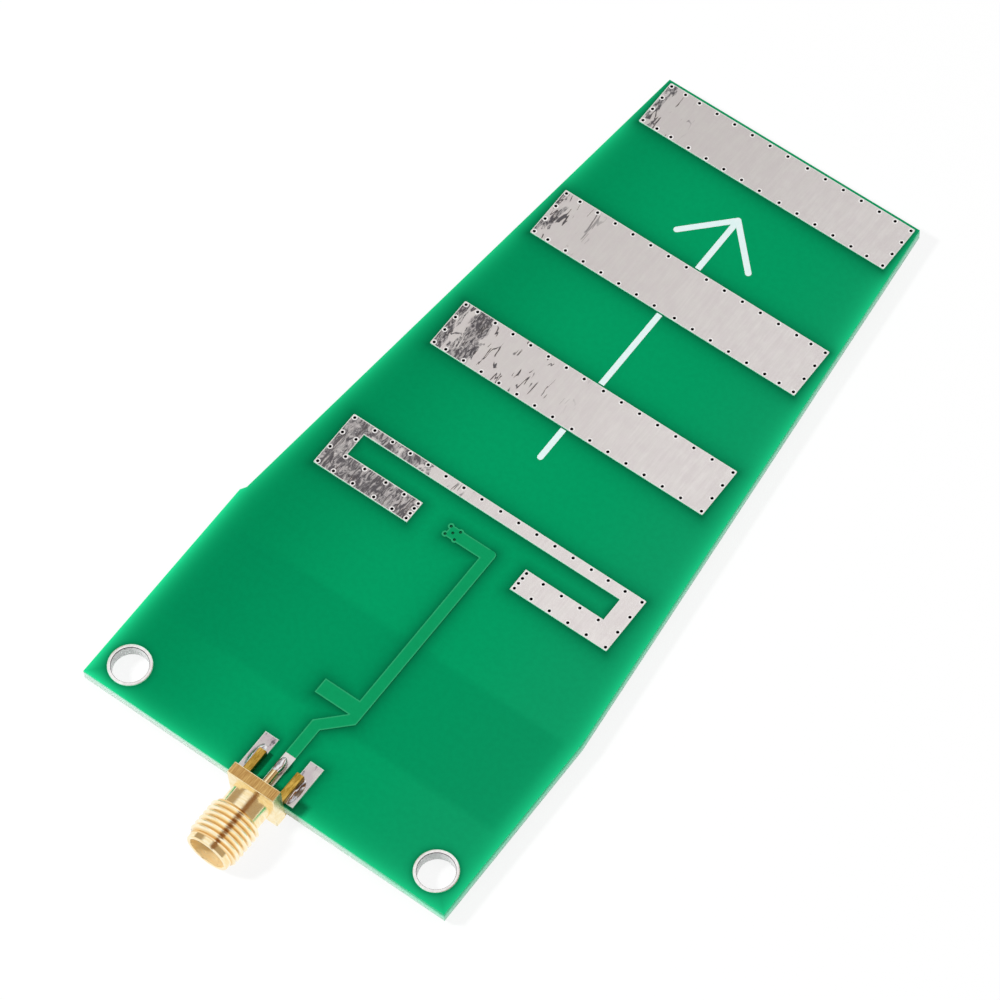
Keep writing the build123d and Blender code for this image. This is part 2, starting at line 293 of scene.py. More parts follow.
edge_depth, taken, given = new_group("Depth Inside Outline", ["Place"], [], ["Depth"])
depth = None
for corner, following in zip(outline, outline[1:] + outline[:1]):
    along = (following - corner).normalized()
    inward = Vector((-along.y, along.x, 0))
    offset = inward.x * corner.x + inward.y * corner.y
    from_side = minus(edge_depth, vector_calc(
        edge_depth, "DOT_PRODUCT", taken["Place"], inward), offset)
    depth = from_side if depth is None else calc(edge_depth, "MINIMUM", depth, from_side)
plug(edge_depth, given["Depth"], depth)
print("outline sides", len(outline), "groups", [group.name for group in bpy.data.node_groups])

# %% [markdown]
# Wear that several finishes share
# Tin, gold and solder all have a fine grain that roughens them unevenly. One group gives that grain
# from two noises, one pulled out along the direction of polishing, so that each metal can use it
# with its own scale and stretch.

# %% Grain group
grain, taken, given = new_group("Grain", ["Place", "Stretch"], ["Scale"], ["Streaks", "Clouds"])
drawn_out = vector_calc(grain, "MULTIPLY", taken["Place"], taken["Stretch"])
plug(grain, given["Streaks"], noise(grain, drawn_out, taken["Scale"], detail=4.0, roughness=0.65))
plug(grain, given["Clouds"], noise(grain, taken["Place"], 700.0, detail=2.0))
print("grain group has", len(grain.nodes), "nodes")

# %% [markdown]
# Green lacquer
# The lacquer's colour is mixed in steps: a green that is deeper to the left and paler to the right,
# which is painted light, a painted glow along the edges, a painted shade beside the copper, and a
# faint darker band of painted shade where the reflector on the other side shows through and holds
# back light coming up through the board. Glow and shade die away quickly at first and then slowly,
# as light does in a cloudy solid, so both use an exponential. Light enters slantwise, so the shade
# is a little longer on one side of the copper. The film is dull rather than mirror-bright, so its
# specular level is low.

# %% Copper under and beside the lacquer
glow_reach = 0.87 * mm
halo_reach = 0.85 * mm
ring_reach = 0.3 * mm
reflector_shade_blur = 1.2 * mm
reflector_shade_share = 0.38
halo_lean = Vector((0, 0.15, 0)) * mm


def bar_of(node):
    low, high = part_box(node)
    return (low + high) / 2, (high - low) / 2


feed_x = 2.82 * mm
feed_low_y, feed_high_y = (corner.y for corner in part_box("feed_trace"))
trace_half = 0.7 * mm
arm_half = 0.76 * mm
arm_y = board_low.y + 37.5 * mm
bend_y = board_low.y + 9.82 * mm
stub_middle = Vector((0.11 * mm, board_low.y + 13.925 * mm, 0))
stub_half = Vector((2.71 * mm, 0.975 * mm, 0))
strip_bars = [bar_of(f"front_director_{index}") for index in (1, 2, 3)]
dipole_low, dipole_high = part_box("front_dipole")
near_bar_half = 1.485 * mm
far_bar_half = 0.75 * mm
end_bar_half = 1.275 * mm
feed_gap_half = 7.2 * mm
near_bar_length_half = (dipole_high.x - feed_gap_half) / 2
dipole_bars = [
    (Vector((0, dipole_high.y - far_bar_half, 0)), Vector((dipole_high.x, far_bar_half, 0)))]
for side in (-1, 1):
    end_middle = Vector((side * (dipole_high.x - end_bar_half), (dipole_low.y + dipole_high.y) / 2, 0))
    dipole_bars.append((end_middle, Vector((end_bar_half, (dipole_high.y - dipole_low.y) / 2, 0))))
    near_x = side * (feed_gap_half + near_bar_length_half)
    near_middle = Vector((near_x, dipole_low.y + near_bar_half, 0))
    dipole_bars.append((near_middle, Vector((near_bar_length_half, near_bar_half, 0))))
feed_bars = [(Vector((0, arm_y, 0)), Vector((feed_x, arm_half, 0))), (stub_middle, stub_half)]
feed_corners = [Vector((0, feed_low_y, 0)), Vector((0, bend_y, 0)),
                Vector((feed_x, bend_y + feed_x, 0)), Vector((feed_x, feed_high_y - trace_half, 0))]
pad_bars = [bar_of("left_ground_pad"), bar_of("right_ground_pad")]
hole_bars = [bar_of("left_hole_plating"), bar_of("right_hole_plating")]
reflector_middle = Vector((0, board_low.y + 17.5 * mm, 0))
reflector_half = Vector((23.0 * mm, 5.9 * mm, 0))
ground_middle = Vector((0, board_low.y + 6.5 * mm, 0))
ground_half = Vector((4.1 * mm, 6.1 * mm, 0))
balun_middle = Vector((0, board_low.y + 31.0 * mm, 0))
balun_half = Vector((4.9 * mm, 7.6 * mm, 0))
print("copper shapes", len(strip_bars + dipole_bars + feed_bars + pad_bars) + len(feed_corners) - 1)


# %% Lacquer material
def distance_to(tree, where, bars):
    return smallest(tree, [
        use_group(tree, bar_distance, Place=where, Middle=middle, Half_Size=half_size)[0]
        for middle, half_size in bars])


def distance_to_feed(tree, where):
    runs = [use_group(tree, line_distance, Place=where, Start=start, End=end, Half_Width=trace_half)[0]
            for start, end in zip(feed_corners, feed_corners[1:])]
    return smallest(tree, runs + [distance_to(tree, where, feed_bars)])


def distance_to_holes(tree, where):
    flat = vector_calc(tree, "MULTIPLY", where, (1, 1, 0))
    distances = []
    for middle, half_size in hole_bars:
        from_hole = vector_calc(tree, "DISTANCE", flat, Vector((middle.x, middle.y, 0)))
        distances.append(minus(tree, from_hole, half_size.x))
    return smallest(tree, distances)


def lacquer(name, facing):
    """Green lacquer for one face, the printed one if facing is +1 and the other one if it is -1."""
    material, tree, shader = new_material(name, Specular_IOR_Level=0.03)
    where = object_place(tree)
    axes = parts_of(tree, where)
    mottle = noise(tree, where, 1500.0, detail=4.0, roughness=0.6)
    # Painted light: the green is deeper to the left and paler to the right.
    green = blend(tree, fade(tree, axes["X"], -24 * mm, -4 * mm),
                  paint(0, 139, 86), paint(2, 158, 99))
    green = blend(tree, fade(tree, axes["X"], 6 * mm, 22 * mm), green, paint(13, 157, 102))
    front = facing > 0
    behind = [(reflector_middle, reflector_half), (ground_middle, ground_half),
              (balun_middle, balun_half)]
    if front:
        # Painted shade: a faint darker band over the reflector on the back, which holds back light
        # coming up through the board.
        reflector_shade = distance_to(tree, where, behind[:1])
        reflector_shade = fade(tree, reflector_shade, 0.0, reflector_shade_blur, reflector_shade_share, 0.0)
        green = blend(tree, reflector_shade, green, paint(0, 136, 86))
    depth = use_group(tree, edge_depth, Place=where)["Depth"]
    wobble = times(tree, minus(tree, mottle, 0.5), 0.5 * mm)
    glow = falling(tree, calc(tree, "ADD", depth, wobble), glow_reach)
    glow = times(tree, glow, fade(tree, axes["X"], -25 * mm, -15 * mm, 1.0, 0.6), clamp=True)
    green = blend(tree, glow, green, paint(38, 236, 157))
    leaned = vector_calc(tree, "ADD", where, halo_lean)
    copper = [distance_to(tree, leaned, strip_bars + dipole_bars)]
    if front:
        copper += [distance_to_feed(tree, leaned), distance_to(tree, leaned, pad_bars)]
    else:
        copper.append(distance_to(tree, leaned, behind))
    shade = times(tree, falling(tree, smallest(tree, copper), halo_reach), 0.85, clamp=True)
    ring_shade = falling(tree, distance_to_holes(tree, where), ring_reach)
    shade = calc(tree, "MAXIMUM", shade, times(tree, ring_shade, 0.8, clamp=True))
    height = times(tree, axes["Z"], float(facing))
    level = facing * (face_z if front else back_z)
    raised = fade(tree, height, level + 0.04 * mm, level + 0.09 * mm)
    lying = times(tree, shade, minus(tree, 1.0, raised))
    green = blend(tree, lying, green, paint(0, 98, 60))
    green = blend(tree, times(tree, raised, 0.9), green, paint(15, 157, 97))
    if front:
        # Partly thinner lacquer and partly a painted highlight: a paler line along the rim of the
        # raised feed line.
        highlit_rim = fade(tree, distance_to_feed(tree, where), -0.18 * mm, -0.03 * mm, 0.0, 0.5)
        green = blend(tree, times(tree, highlit_rim, raised), green, paint(66, 184, 130))
    orange_peel = noise(tree, where, 900.0, detail=2.0)
    coat(tree, shader, Base_Color=scaled(tree, green, fade(tree, mottle, 0.35, 0.65, 0.975, 1.025)),
         Roughness=fade(tree, mottle, 0.3, 0.7, 0.38, 0.5),
         Normal=bump(tree, orange_peel, 0.006 * mm, 0.5))
    return material


front_lacquer = lacquer("front lacquer", 1)
back_lacquer = lacquer("back lacquer", -1)
print("lacquer nodes", len(front_lacquer.node_tree.nodes))

# %% [markdown]
# Glass-epoxy board
# The board's sides are cut by a router, which leaves the pale weave showing in thin level bands.
# The upper third is tinted mint where light comes down through the lacquer, and the rest is a pale
# grey-white. Towards the right the sides are greener. Bands that follow the height give this, with
# a noise that is long in the plane.

# %% Laminate material
laminate, tree, shader = new_material("glass epoxy", Roughness=0.62, Specular_IOR_Level=0.3)
where = object_place(tree)
axes = parts_of(tree, where)
plies = noise(tree, stretched(tree, where, (160, 160, 9000)), 1.0, detail=3.0, roughness=0.7)
side_colour = blend(tree, fade(tree, axes["Z"], back_z + 0.5 * mm, face_z - 0.5 * mm),
                    paint(226, 246, 236), paint(212, 255, 236))
side_colour = blend(tree, fade(tree, axes["Z"], face_z - 0.5 * mm, face_z - 0.05 * mm),
                    side_colour, paint(112, 232, 186))
greener = times(tree, fade(tree, axes["X"], 6 * mm, 24 * mm), fade(
    tree, axes["Z"], back_z + 0.2 * mm, face_z - 0.4 * mm, 0.4, 0.95))
right_side = blend(tree, fade(tree, axes["Z"], face_z - 0.8 * mm, face_z - 0.3 * mm),
                   paint(132, 255, 206), paint(44, 206, 146))
side_colour = blend(tree, greener, side_colour, right_side)
side_colour = blend(
    tree, fade(tree, plies, 0.55, 0.75, 0.0, 0.12), side_colour, paint(196, 214, 202))
coat(tree, shader, Base_Color=side_colour, Normal=bump(tree, plies, 0.02 * mm, 0.6))
print("laminate bands", round((face_z - back_z) / mm, 2), "mm of board")

# %% [markdown]
# Levelled tin
# Bare copper is dipped in solder and blown level with hot air. Most of the strip comes out satin,
# but where the air left it last the tin lies crumpled, in ripples that mirror dark parts of the room,
# with a few long creases beyond them. The crumpled shape is a bump, and the dark that the ripples
# and creases mirror is painted into the colour as a painted reflection. Each strip takes the same
# recipe with its own numbers: how wide the crumpled fringe at its left end is, where the crumpled
# zone starts, is full and stops, and how far the creases go. Surface tension pulls the tin into a
# smooth bead along every rim, which has no ripples; its brighter colour there is a painted highlight.

# %% Tin ripples group
ripples, taken, given = new_group(
    "Tin Ripples", ["Place"], ["From End", "Fringe", "Starts", "Full", "Stops", "Creased", "Most"],
    ["Dark", "Height"])


def ripple_noise(stretch, *character):
    return noise(ripples, stretched(ripples, taken["Place"], stretch), 1.0, *character)


in_fringe = fade(ripples, taken["From End"], taken["Fringe"], times(ripples, taken["Fringe"], 0.3))
begun = fade(ripples, taken["From End"], minus(ripples, taken["Starts"], 1.2 * mm), taken["Starts"])
in_zone = times(ripples, begun, fade(ripples, taken["From End"], taken["Stops"], taken["Full"]))
heavy = times(ripples, calc(ripples, "MAXIMUM", in_fringe, in_zone), taken["Most"])
crease_share = fade(ripples, taken["From End"], taken["Creased"], times(
    ripples, taken["Creased"], 0.6))
blotches = ripple_noise((700, 330, 700), 4.0, 0.62, 0.8)
crumples = ripple_noise((2300, 800, 2300), 5.0, 0.7, 1.6)
crease_line = band(ripples, ripple_noise((800, 140, 800), 2.0, 0.5, 0.7), 0.5, 0.024, 0.01)
broken = fade(ripples, ripple_noise((700, 420, 700), 1.0), 0.5, 0.55)
thin_dark = times(ripples, times(ripples, crease_line, broken), crease_share)
# Painted reflection: crumpled patches and creases are painted dark, for the dark room that they mirror.
cut = minus(ripples, 0.7, times(ripples, heavy, 0.34))
dark_patch = fade(ripples, minus(ripples, blotches, cut), -0.02, 0.05)
mirrored_dark_crumples = times(ripples, dark_patch, fade(ripples, crumples, 0.62, 0.42, 0.25, 0.95))
broad_dark = times(ripples, mirrored_dark_crumples, fade(ripples, heavy, 0.0, 0.15))
plug(ripples, given["Dark"], calc(ripples, "MAXIMUM", broad_dark, times(
    ripples, thin_dark, 0.92), clamp=True))
ripple_height = calc(ripples, "ADD", times(ripples, crumples, heavy), times(ripples, thin_dark, -0.5))
plug(ripples, given["Height"], ripple_height)
print("ripple group has", len(ripples.nodes), "nodes")


# %% Tin material
def tin(name, bars, fringe=0.1, zone=(0.0, 0.1, 0.2), creased=0.2, most=0.0, lean=0.0, lilac=0.15,
        tone=1.0, mirrored_dark=(68, 65, 70), fineness=1.0):
    """
    Levelled tin on bars. The widths of its fringe, zone and creases are in mm from its left end, and
    each y above the lowest shifts them by lean. A lower fineness gives larger ripples.
    """
    starts, full, stops = zone
    material, tree, shader = new_material(name, Metallic=1.0)
    where = object_place(tree)
    axes = parts_of(tree, where)
    left = min(middle.x - half_size.x for middle, half_size in bars)
    near = min(middle.y - half_size.y for middle, half_size in bars)
    leaned = times(tree, minus(tree, axes["Y"], near), lean)
    from_end = calc(tree, "ADD", minus(tree, axes["X"], left), leaned)
    found = use_group(tree, ripples, Place=stretched(tree, where, (fineness, fineness, fineness)),
                      From_End=from_end, Fringe=fringe * mm, Starts=starts * mm,
                      Full=full * mm, Stops=stops * mm, Creased=creased * mm, Most=most)
    fine = use_group(tree, grain, Place=where, Stretch=(1.0, 0.1, 1.0), Scale=2600.0)
    # Painted light: the satin tin is darker to the left and lighter to the right, as the lacquer's
    # green is.
    satin = blend(tree, fade(tree, axes["X"], -14 * mm, 18 * mm), paint(211, 207, 205),
                  paint(227, 223, 222))
    satin = blend(tree, fade(tree, fine["Streaks"], 0.35, 0.7, 0.25, 0.0), satin,
                  paint(196, 191, 190))
    satin = blend(tree, fade(tree, fine["Clouds"], 0.35, 0.65, 0.0, lilac), satin,
                  paint(200, 186, 194))
    satin = scaled(tree, satin, tone)
    # Partly real and partly a painted highlight: the rims are smooth and free of ripples, and painted a
    # brighter colour.
    highlit_rim = fade(tree, distance_to(tree, where, bars), -0.12 * mm, -0.06 * mm)
    # The painted reflection of the ripples and creases, kept off the rims.
    dark = times(tree, found["Dark"], minus(tree, 1.0, highlit_rim))
    colour = blend(tree, dark, satin, paint(*mirrored_dark))
    height = calc(tree, "ADD", found["Height"], times(tree, fine["Streaks"], 0.12))
    coat(tree, shader,
         Base_Color=blend(tree, times(tree, highlit_rim, 0.6), colour, paint(244, 242, 240)),
         Roughness=fade(tree, dark, 0.0, 1.0, 0.4, 0.24), Normal=bump(tree, height, 0.05 * mm, 0.5))
    return material


tins = {
    "front_dipole": tin("tin on the driven element", dipole_bars, 3, (0, 13, 23), 28, 1.0, 0.8,
                        tone=1.15, mirrored_dark=(80, 77, 81), fineness=0.72)}
director_tins = [(1.7, (2.6, 4.2, 5.6), 20, 0.95, 1.09), (1.0, (1, 0.4, 2.4), 7, 0.66, 1.05),
                 (1.1, (1, 0.4, 2.6), 6, 0.7, 0.99)]
for index, (fringe, zone, creased, most, tone) in enumerate(director_tins, 1):
    tins[f"front_director_{index}"] = tin(f"tin on director {index}", strip_bars[index - 1:index],
                                          fringe, zone, creased, most, tone=tone)
tins["left_ground_pad"] = tin("tin on the left pad", pad_bars[:1], 1, (0, 2, 9), 0.2, 0.45,
                              lilac=0.7, mirrored_dark=(96, 90, 96))
tins["right_ground_pad"] = tin("tin on the right pad", pad_bars[1:], 0.4, (0, 0.1, 3), 0.2, 0.3,
                               lilac=0.6)
plain_tin = tin("tin elsewhere", strip_bars)
print("tin materials", len(tins) + 1)

# %% [markdown]
# Gold flash
# The socket is turned from brass and flashed with gold, so it is a true metal: its colour tints
# what it mirrors. Turning leaves rings, the flange's rim is sawn and brushed, its front is satin,
# and the legs and the mouth's inside have a duller flash. Light in the thread's grooves is tinted
# twice before it leaves, so they are a deeper gold. These finishes share one function that differs
# in colour, grain direction and roughness.

# %% Gold materials
shell_low, shell_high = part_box("connector_shell")
axis_z = (shell_low.z + shell_high.z) / 2
thread_radius = 3.175 * mm
thread_depth = 0.43 * mm


def gold(name, colour, worn, stretch, scale, roughness, depth, groove_shade=None, metallic=1.0):
    """Gold with a fine grain. A groove colour, where given, is painted into the bottom of the thread as
    painted shade, the deeper gold of light mirrored twice there.
    """
    material, tree, shader = new_material(name, Metallic=metallic)
    where = object_place(tree)
    fine = use_group(tree, grain, Place=where, Stretch=stretch, Scale=scale)
    tone = blend(tree, fade(tree, fine["Streaks"], 0.35, 0.68), worn, colour)
    if groove_shade:
        from_axis = vector_calc(tree, "LENGTH", vector_calc(tree, "MULTIPLY", vector_calc(
            tree, "SUBTRACT", where, (0, 0, axis_z)), (1, 0, 1)))
        # Painted shade: the bottom of the thread is painted a deeper gold, for light mirrored twice in
        # the grooves.
        in_groove_shade = fade(tree, from_axis, thread_radius - 0.12 * mm, thread_radius - 0.9 * thread_depth)
        tone = blend(tree, in_groove_shade, tone, groove_shade)
    coat(tree, shader, Base_Color=tone,
         Roughness=fade(tree, fine["Streaks"], 0.3, 0.7, roughness + 0.06, roughness - 0.04),
         Normal=bump(tree, fine["Streaks"], depth, 0.5))
    return material


socket_golds = [
    gold("turned gold", paint(255, 242, 206), paint(252, 228, 176), (1.0, 6.0, 1.0),
         600.0, 0.16, 0.006 * mm),
    gold("brushed gold", paint(222, 184, 116), paint(186, 140, 80), (9.0, 0.5, 9.0),
         900.0, 0.36, 0.03 * mm),
    gold("satin gold", paint(255, 242, 204), paint(250, 230, 180), (2.0, 2.0, 2.0),
         900.0, 0.32, 0.008 * mm),
    gold("gold of the legs", paint(214, 176, 86), paint(160, 124, 44), (4.0, 0.8, 4.0),
         1300.0, 0.3, 0.03 * mm),
    gold("gold inside the mouth", paint(255, 238, 196), paint(255, 226, 168), (1.0, 6.0, 1.0),
         600.0, 0.3, 0.006 * mm, metallic=0.4),
    gold("gold of the thread", paint(255, 247, 222), paint(255, 236, 192), (1.0, 6.0, 1.0),
         600.0, 0.16, 0.006 * mm, paint(242, 206, 146))]
TURNED, BRUSHED, SATIN, LEG, MOUTH, THREAD = range(len(socket_golds))
print("gold finishes", [finish.name for finish in socket_golds])

# %% [markdown]
# Solder, ink and the white insulator
# Solder is a near mirror with a skin of faint crazing, and plated tin is the same with less shine.
# Ink and the fluoropolymer insulator are matt, but even a matt surface has small unevenness, so
# each gets a noise in colour and height.

# %% Solder, ink and insulator materials
def molten(name, stretch, scale, streak_range, dull, bright, roughness, depth, strength):
    """A bright metal that has been molten. streak_range is where its streaks go from dull to bright."""
    material, tree, shader = new_material(name, Metallic=1.0)
    fine = use_group(tree, grain, Place=object_place(tree), Stretch=stretch, Scale=scale)
    coat(tree, shader,
         Base_Color=blend(tree, fade(tree, fine["Streaks"], *streak_range), dull, bright),
         Roughness=fade(tree, fine["Clouds"], 0.3, 0.7, *roughness),
         Normal=bump(tree, fine["Streaks"], depth, strength))
    return material


def matt(name, colour, shadow, scale, roughness):
    material, tree, shader = new_material(name, Roughness=roughness, Specular_IOR_Level=0.25)
    where = object_place(tree)
    cloud = noise(tree, where, scale, detail=3.0)
    coat(tree, shader, Base_Color=blend(tree, fade(tree, cloud, 0.35, 0.7), shadow, colour),
         Normal=bump(tree, cloud, 0.006 * mm, 0.5))
    return material


solder = molten("wetted solder", (1.0, 0.4, 1.0), 1500.0, (0.42, 0.6), paint(150, 146, 150),
                paint(238, 236, 238), (0.1, 0.2), 0.05 * mm, 0.5)
plated = molten("bright plated tin", (1.0, 1.0, 0.4), 1800.0, (0.35, 0.65), paint(238, 236, 235),
                paint(255, 253, 252), (0.26, 0.4), 0.01 * mm, 0.4)
ink = matt("white ink", paint(240, 255, 255), paint(232, 254, 252), 1800.0, 0.6)
fluoropolymer = matt("white insulator", paint(243, 240, 230), paint(232, 228, 216), 900.0, 0.45)
filled_via = matt("lacquer in a via", paint(0, 104, 64), paint(0, 84, 52), 4000.0, 0.5)
# Painted shade: the inside of each open via is painted nearly black, for the shade deep in the bore.
shaded_bore = matt("tin inside a via, painted dark as shade", paint(34, 32, 34), paint(22, 20, 22), 4000.0, 0.7)
bore_lining = matt("dulled lining of a mounting hole", paint(252, 254, 253), paint(236, 238, 238),
                   2600.0, 0.4)
# Painted reflection: the lip's dark colour stands for the dark that its rounding mirrors.
painted_dark_lip = matt("lip of a mounting hole, painted dark", paint(128, 118, 124), paint(84, 78, 84),
                1500.0, 0.4)
print("materials so far", len(bpy.data.materials))

# %% [markdown]
# Joining a solid's triangles, and easing its edges
# The frame's meshes come as loose triangles, so nothing can be rounded until a copy is welded. No
# real edge is a knife edge: foil is rounded by etching and tin, ink by its own surface. The welded
# copy gets its sharp edges bevelled, and then stands in for the solid. The solid itself is left as
# it is, because the frame has to stay true. Large level faces are shaded flat and only the rest is
# shaded smooth, because a bevel beside a big smooth face would spread its shading across it.

# %% Piece helpers
weld_distance = 0.002 * mm
sharp_angle = math.radians(35)


def joined(node):
    bm = bmesh.new()
    bm.from_mesh(nodes[node].data)
    bmesh.ops.remove_doubles(bm, verts=bm.verts, dist=weld_distance)
    return bm


def welded(node):
    bm = joined(node)
    bmesh.ops.dissolve_limit(bm, angle_limit=math.radians(1), verts=bm.verts, edges=bm.edges)
    return bm


def mesh_of(name, bm):
    mesh = bpy.data.meshes.new(name)
    bm.to_mesh(mesh)
    bm.free()
    return mesh


def face_outwards(bm):
    bmesh.ops.recalc_face_normals(bm, faces=bm.faces)


def sharp_edges(bm, chosen=lambda edge: True):
    return [edge for edge in bm.edges if len(edge.link_faces) == 2
            and edge.calc_face_angle(0.0) > sharp_angle and chosen(edge)]


def ease(bm, edges, width, segments=2):
    bmesh.ops.bevel(bm, geom=edges, offset=width, offset_type="OFFSET", segments=segments,
                    profile=0.5, affect="EDGES", clamp_overlap=True, material=-1)


def is_level(face):
    return abs(face.normal.z) > 0.9999


def finish_piece(name, bm, materials, replaced, is_flat=lambda face: False):
    """Turns a bmesh into an object that stands for the replaced nodes, and rides with the board."""
    bm.normal_update()
    smooth = [not is_flat(face) for face in bm.faces]
    mesh = mesh_of(name, bm)
    mesh.set_sharp_from_angle(angle=sharp_angle)
    mesh.polygons.foreach_set("use_smooth", smooth)
    piece = new_object(name, mesh)
    for material in materials:
        mesh.materials.append(material)
    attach(piece, "root")
    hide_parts(*replaced)
    return piece


def dress(node, material):
    """Gives a CAD node its finish, and leaves its shape alone."""
    mesh = nodes[node].data
    mesh.materials.clear()
    mesh.materials.append(material)


def eased_piece(name, node, material, width):
    bm = welded(node)
    ease(bm, sharp_edges(bm), width)
    piece = finish_piece(name, bm, [material], [node], is_level)
    print(name, "faces", len(piece.data.polygons))
    return piece


print("sharp means over", round(math.degrees(sharp_angle)), "degrees")

# %% [markdown]
# Foil, pads and ink
# Every strip is etched from the same foil and dipped in the same tin, so one function makes them
# all. The back has copies of the face's strips, which carry plain tin.

# %% Strips
foil_round = 0.03 * mm
for node, material in tins.items():
    eased_piece("tinned_" + node.replace("front_", ""), node, material, foil_round)
for index in (1, 2, 3):
    eased_piece(f"tinned_back_director_{index}", f"back_director_{index}", plain_tin, foil_round)
eased_piece("tinned_back_foil", "back_ground_plane", plain_tin, foil_round)
eased_piece("inked_arrow", "direction_arrow", ink, 0.008 * mm)
dress("feed_trace", plain_tin)
dress("board_core", laminate)
dress("connector_insulator", fluoropolymer)
dress("centre_contact", socket_golds[TURNED])

# %% [markdown]
# Lacquer over the feed line
# The lacquer is a flat film that climbs over the feed line. Its upper edge there is a soft
# shoulder, wider than the film is thick, so that edge alone gets a bevel.

# %% Lacquer films
def lacquer_film(name, node, material, crest_z):
    bm = welded(node)
    crest = [edge for edge in sharp_edges(bm) if all(
        abs(vert.co.z - crest_z) < weld_distance for vert in edge.verts)]
    ease(bm, crest, 0.06 * mm, 3)
    piece = finish_piece(name, bm, [material], [node], is_level)
    print(name, "shoulder edges", len(crest), "faces", len(piece.data.polygons))
    return piece


lacquer_film("face_lacquer", "front_solder_mask", front_lacquer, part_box("front_solder_mask")[1].z)
lacquer_film("back_lacquer", "back_solder_mask", back_lacquer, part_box("back_solder_mask")[0].z)

# %% [markdown]
# Plated holes that carry a rim
# Tin gathers round the mouth of each plated via as a low collar, and that collar's bright crescent
# is what makes the dots readable. A via is a lathed shape, so a short profile is spun once, and
# that mesh is copied to each place. The places are read from the frame: every barrel there is an
# island of its own, and its middle is the via's. Lacquer has run into the five vias that it covers,
# so theirs is a profile that meets the axis a little way down.

# %% Via barrels
via_bore_radius = 0.175 * mm
via_wall = 0.05 * mm
via_collar_width = 0.165 * mm
via_collar_height = 0.014 * mm
via_plug_depth = 0.12 * mm
via_steps = 14


def island_middles(node):
    """The middle of each separate solid of a node, in x and y."""
    bm = joined(node)
    waiting = set(bm.verts)
    middles = []
    while waiting:
        island = [waiting.pop()]
        for vert in island:
            for edge in vert.link_edges:
                other = edge.other_vert(vert)
                if other in waiting:
                    waiting.remove(other)
                    island.append(other)
        low_x, high_x = min(v.co.x for v in island), max(v.co.x for v in island)
        low_y, high_y = min(v.co.y for v in island), max(v.co.y for v in island)
        middles.append(Vector(((low_x + high_x) / 2, (low_y + high_y) / 2, 0)))
    bm.free()
    return middles


def closed_loop(bm, points):
    verts = [bm.verts.new(point) for point in points]
    return verts + [bm.edges.new(pair) for pair in zip(verts, verts[1:] + verts[:1])]


def spin_closed(bm, profile, axis, centre, steps):
    """Spins a closed profile, given as points, right round an axis, and welds the seam."""
    bmesh.ops.spin(bm, geom=closed_loop(bm, profile), cent=centre, axis=axis, angle=2 * math.pi,
                   steps=steps, use_merge=True)


def via_barrel(plugged):
    """One barrel at the origin, as a mesh: bore, collars on both faces, and its outside wall."""
    bm = bmesh.new()
    top, bottom = foil_top, foil_bottom
    lip = [(0, -0.03 * mm), (0.025 * mm, 0.6 * via_collar_height), (0.07 * mm, via_collar_height),
           (via_collar_width, -0.002 * mm), (via_wall, -0.03 * mm)]
    if plugged:
        lip = [(0, -via_plug_depth), (0, 0), (via_wall, 0)]
    half = [(via_bore_radius + out, top + up) for out, up in lip]
    lower = [(radius, bottom + (top - z)) for radius, z in reversed(half)]
    profile = [Vector((radius, 0, z)) for radius, z in half + lower]
    spin_closed(bm, profile, (0, 0, 1), (0, 0, 0), via_steps)
    if plugged:
        for z in (top - via_plug_depth, bottom + via_plug_depth):
            bmesh.ops.create_circle(bm, cap_ends=True, radius=via_bore_radius + 0.01 * mm,
                                    segments=via_steps, matrix=Matrix.Translation((0, 0, z)))
    face_outwards(bm)
    for face in bm.faces:
        in_bore = all(abs(vert.co.xy.length - via_bore_radius) < 0.001 * mm for vert in face.verts)
        # Index 1, the bore's wall, takes the painted shade.
        face.material_index = 1 if in_bore and not plugged else 0
    return mesh_of("via barrel", bm)


def via_row(name, node, barrel, materials):
    bm = bmesh.new()
    for middle in island_middles(node):
        start = len(bm.verts)
        bm.from_mesh(barrel)
        bm.verts.ensure_lookup_table()
        bmesh.ops.translate(bm, verts=bm.verts[start:], vec=middle)
    piece = finish_piece(name, bm, materials, [node])
    print(name, "faces", len(piece.data.polygons))


open_barrel = via_barrel(False)
via_row("feed_barrels", "feed_vias", via_barrel(True), [filled_via])
for element in ("dipole", "director_1", "director_2", "director_3"):
    via_row(f"{element}_barrels", f"{element}_vias", open_barrel, [plated, shaded_bore])

# %% [markdown]
# Eyelets of the mounting holes
# The two mounting holes are lined and ringed with tin, so they read as bright eyelets. Their
# section is the same all round: a rounded ring on each face and a straight wall between, which is
# dulled, and its rounded lip is painted dark, a painted reflection of the dark that the rounding
# mirrors. That is a lathe's work again, at a larger size.

